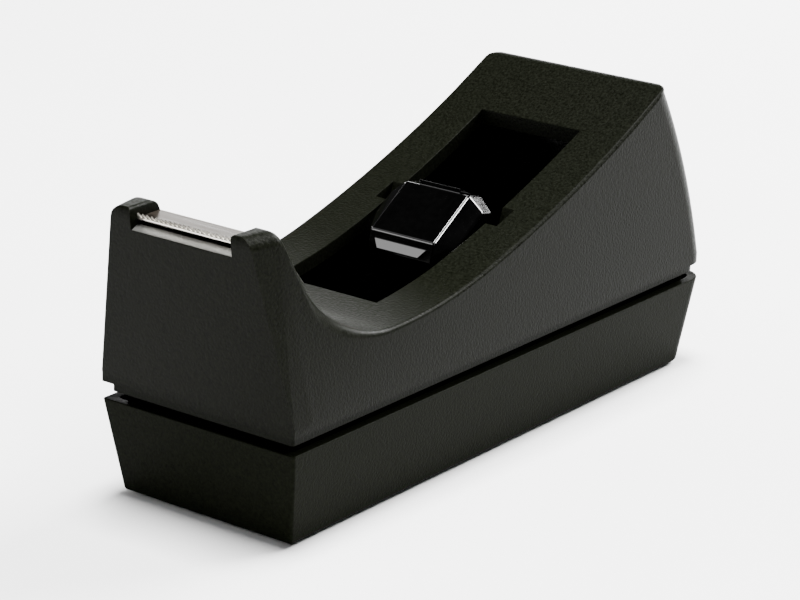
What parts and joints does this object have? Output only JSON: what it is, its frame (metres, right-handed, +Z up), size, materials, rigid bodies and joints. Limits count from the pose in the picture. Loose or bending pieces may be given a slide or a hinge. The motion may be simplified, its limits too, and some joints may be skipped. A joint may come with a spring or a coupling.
{
  "type": "desktop tape dispenser",
  "caption": "Weighted desktop tape dispenser with a cutter blade between two posts and a lift-out core for small rolls of tape",
  "frame": {"origin": "on the surface that it stands on, at the middle of its length and width", "axes": "+Z up, +Y towards the tall rear end, -Y towards the blade, +X to the right seen from the blade end"},
  "size_m": [0.051, 0.1548, 0.07],
  "materials": {
    "housing_plastic": "fine-textured dark charcoal moulding",
    "gloss_black": "polished black moulding",
    "seat_plastic": "smooth light grey ledge",
    "blade_steel": "stamped bright steel strip",
    "axle_plastic": "plain dark rod",
    "ballast_iron": "rough casting",
    "pad_rubber": "fine cellular soft sheet",
    "screw_steel": "zinc-plated steel"
  },
  "bodies": {
    "root": {"housing_shell": "housing_plastic", "tape_well": "gloss_black", "blade_seat": "seat_plastic", "cutter_blade": "blade_steel", "base_pan": "housing_plastic", "front_ballast": "ballast_iron", "rear_ballast": "ballast_iron", "non_slip_pad": "pad_rubber", "housing_screws": "screw_steel", "ballast_screws": "screw_steel"},
    "axle": {"core_axle": "axle_plastic"},
    "core": {"core_drum": "gloss_black", "left_core_cap": "gloss_black", "right_core_cap": "gloss_black"}
  },
  "joints": [
    {"name": "core_lift", "type": "slide", "parent": "root", "child": "axle", "axis": [0, 0.3256, 0.9455], "range_m": [0, 0.035]},
    {"name": "core_spin", "type": "hinge", "parent": "axle", "child": "core", "pos_m": [0, 0.00593, 0.0402], "axis": [1, 0, 0], "continuous": true}
  ]
}
